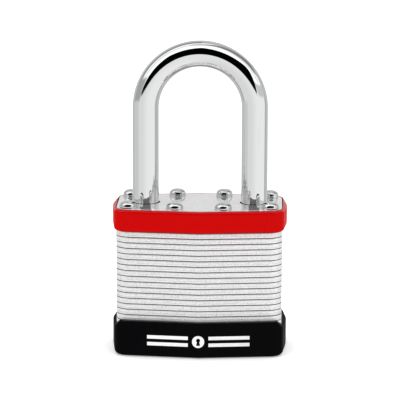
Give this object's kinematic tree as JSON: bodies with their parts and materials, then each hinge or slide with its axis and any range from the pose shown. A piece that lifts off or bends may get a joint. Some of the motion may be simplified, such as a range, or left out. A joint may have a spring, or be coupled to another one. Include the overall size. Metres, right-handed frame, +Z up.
{
  "type": "laminated steel padlock",
  "caption": "Laminated steel padlock with a long round shackle, riveted plates, a pin-tumbler cylinder, a top band and a bottom cover.",
  "frame": {"origin": "under the middle of the flat base of the bottom cover", "axes": "+Z up along the shackle's legs, +X from the heel leg to the toe leg, +Y from the front face to the back face, where the pin chambers are"},
  "size_m": [0.0468, 0.0288, 0.083],
  "materials": {
    "plate_steel": "satin zinc-plated sheet steel, stamped edges",
    "top_plate_steel": "bright polished zinc-plated sheet steel",
    "rivet_steel": "bright plated steel",
    "band_plastic": "glossy red",
    "cover_plastic": "glossy black",
    "brass": "machined",
    "brass_strip": "rolled strip",
    "plug_brass": "turned",
    "pin_brass": "turned",
    "pin_nickel": "turned and nickel plated",
    "hard_steel": "hardened, satin",
    "spring_steel": "drawn wire",
    "shackle_chrome": "mirror chrome on hardened steel"
  },
  "bodies": {
    "lock_body": {"plate_01": "plate_steel", "plate_02": "plate_steel", "plate_03": "plate_steel", "plate_04": "plate_steel", "plate_05": "plate_steel", "plate_06": "plate_steel", "plate_07": "plate_steel", "plate_08": "plate_steel", "plate_09": "plate_steel", "plate_10": "plate_steel", "plate_11": "plate_steel", "plate_12": "plate_steel", "plate_13": "plate_steel", "plate_14": "plate_steel", "plate_15": "plate_steel", "plate_16": "plate_steel", "plate_17": "plate_steel", "plate_18": "plate_steel", "plate_19": "plate_steel", "plate_20": "plate_steel", "plate_21": "plate_steel", "plate_22": "plate_steel", "plate_23": "plate_steel", "plate_24": "plate_steel", "plate_25": "top_plate_steel", "rivets": "rivet_steel", "top_band": "band_plastic", "bottom_cover": "cover_plastic", "cylinder_housing": "brass", "pin_chamber_cover": "brass_strip", "shackle_spring": "spring_steel", "pin_spring_1": "spring_steel", "pin_spring_2": "spring_steel", "pin_spring_3": "spring_steel", "pin_spring_4": "spring_steel", "pin_spring_5": "spring_steel"},
    "plug_body": {"plug": "plug_brass", "cam": "hard_steel"},
    "left_bolt_body": {"locking_bolt_left": "hard_steel"},
    "right_bolt_body": {"locking_bolt_right": "hard_steel"},
    "shackle_body": {"shackle": "shackle_chrome"},
    "key_pin_1_body": {"key_pin_1": "pin_brass"},
    "key_pin_2_body": {"key_pin_2": "pin_brass"},
    "key_pin_3_body": {"key_pin_3": "pin_brass"},
    "key_pin_4_body": {"key_pin_4": "pin_brass"},
    "key_pin_5_body": {"key_pin_5": "pin_brass"},
    "driver_pin_1_body": {"driver_pin_1": "pin_nickel"},
    "driver_pin_2_body": {"driver_pin_2": "pin_nickel"},
    "driver_pin_3_body": {"driver_pin_3": "pin_nickel"},
    "driver_pin_4_body": {"driver_pin_4": "pin_nickel"},
    "driver_pin_5_body": {"driver_pin_5": "pin_nickel"}
  },
  "joints": [
    {"name": "plug_turn", "type": "hinge", "parent": "lock_body", "child": "plug_body", "pos_m": [0, -0.001, 0.015], "axis": [0, 0, 1], "range_deg": [-90, 0]},
    {"name": "bolt_left_slide", "type": "slide", "parent": "lock_body", "child": "left_bolt_body", "axis": [-1, 0, 0], "range_m": [0, 0.0015]},
    {"name": "bolt_right_slide", "type": "slide", "parent": "lock_body", "child": "right_bolt_body", "axis": [1, 0, 0], "range_m": [0, 0.0015]},
    {"name": "shackle_lift", "type": "slide", "parent": "lock_body", "child": "shackle_body", "axis": [0, 0, 1], "range_m": [0, 0.0135], "deforming": ["shackle_spring"]},
    {"name": "key_pin_1_slide", "type": "slide", "parent": "plug_body", "child": "key_pin_1_body", "axis": [1, 0, 0], "range_m": [0, 0.00178]},
    {"name": "key_pin_2_slide", "type": "slide", "parent": "plug_body", "child": "key_pin_2_body", "axis": [1, 0, 0], "range_m": [0, 0.00118]},
    {"name": "key_pin_3_slide", "type": "slide", "parent": "plug_body", "child": "key_pin_3_body", "axis": [1, 0, 0], "range_m": [0, 0.00058]},
    {"name": "key_pin_4_slide", "type": "slide", "parent": "plug_body", "child": "key_pin_4_body", "axis": [1, 0, 0], "range_m": [0, 0.00148]},
    {"name": "key_pin_5_slide", "type": "slide", "parent": "plug_body", "child": "key_pin_5_body", "axis": [1, 0, 0], "range_m": [0, 0.00088]},
    {"name": "driver_pin_1_slide", "type": "slide", "parent": "lock_body", "child": "driver_pin_1_body", "axis": [0, 1, 0], "range_m": [0, 0.0012], "stiffness_N_per_m": 100, "springref_m": -0.002, "deforming": ["pin_spring_1"]},
    {"name": "driver_pin_2_slide", "type": "slide", "parent": "lock_body", "child": "driver_pin_2_body", "axis": [0, 1, 0], "range_m": [0, 0.0012], "stiffness_N_per_m": 100, "springref_m": -0.002, "deforming": ["pin_spring_2"]},
    {"name": "driver_pin_3_slide", "type": "slide", "parent": "lock_body", "child": "driver_pin_3_body", "axis": [0, 1, 0], "range_m": [0, 0.0012], "stiffness_N_per_m": 100, "springref_m": -0.002, "deforming": ["pin_spring_3"]},
    {"name": "driver_pin_4_slide", "type": "slide", "parent": "lock_body", "child": "driver_pin_4_body", "axis": [0, 1, 0], "range_m": [0, 0.0012], "stiffness_N_per_m": 100, "springref_m": -0.002, "deforming": ["pin_spring_4"]},
    {"name": "driver_pin_5_slide", "type": "slide", "parent": "lock_body", "child": "driver_pin_5_body", "axis": [0, 1, 0], "range_m": [0, 0.0012], "stiffness_N_per_m": 100, "springref_m": -0.002, "deforming": ["pin_spring_5"]}
  ],
  "couplings": [
    {"joint": "bolt_left_slide", "follows": "plug_turn", "m_per_rad": -0.000954},
    {"joint": "bolt_right_slide", "follows": "plug_turn", "m_per_rad": -0.000954}
  ]
}
